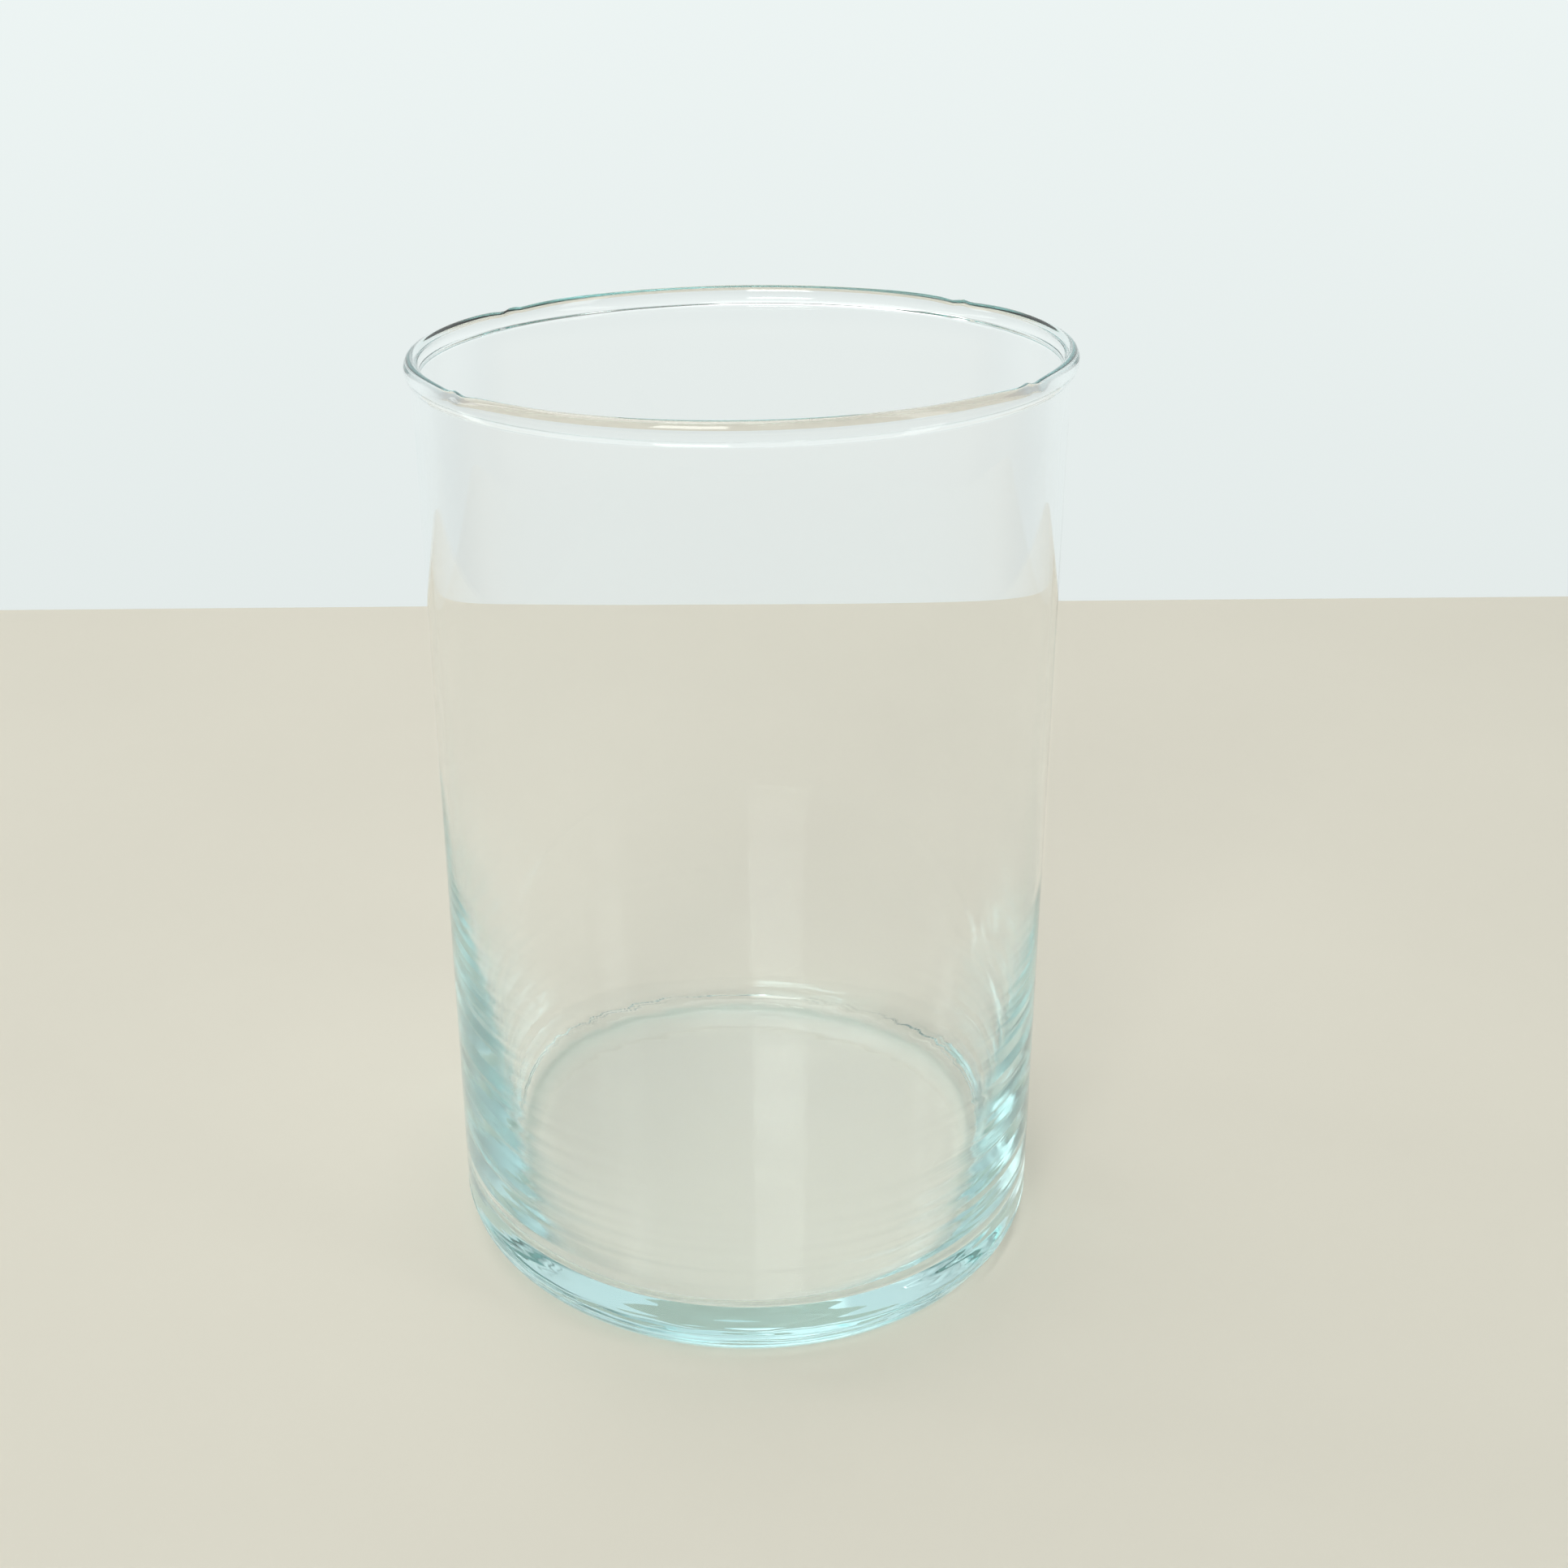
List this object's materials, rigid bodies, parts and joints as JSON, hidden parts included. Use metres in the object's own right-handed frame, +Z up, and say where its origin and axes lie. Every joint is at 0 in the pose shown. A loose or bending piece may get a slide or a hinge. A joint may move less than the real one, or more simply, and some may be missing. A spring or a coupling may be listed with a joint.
{
  "type": "glass cylinder vase",
  "caption": "Straight clear glass cylinder vase with a rounded rim bead, a thin wall that thickens towards a heavy base, and a flat standing ring underneath.",
  "frame": {"origin": "centre of the plane that the vase stands on", "axes": "+Z up along the vase's own axis, out of its mouth; +X and +Y are any two directions square to it, because the vase is round"},
  "size_m": [0.1022, 0.1022, 0.152],
  "materials": {
    "thick_glass": "clear soda-lime glass, fire-polished, faint aqua tint that deepens where the glass is thick",
    "wall_glass": "clear soda-lime glass, fire-polished, nearly colourless where the wall is thin"
  },
  "bodies": {
    "root": {"base_disc": "thick_glass", "heel_ring": "thick_glass", "side_wall": "wall_glass", "rim_bead": "wall_glass"}
  },
  "joints": []
}
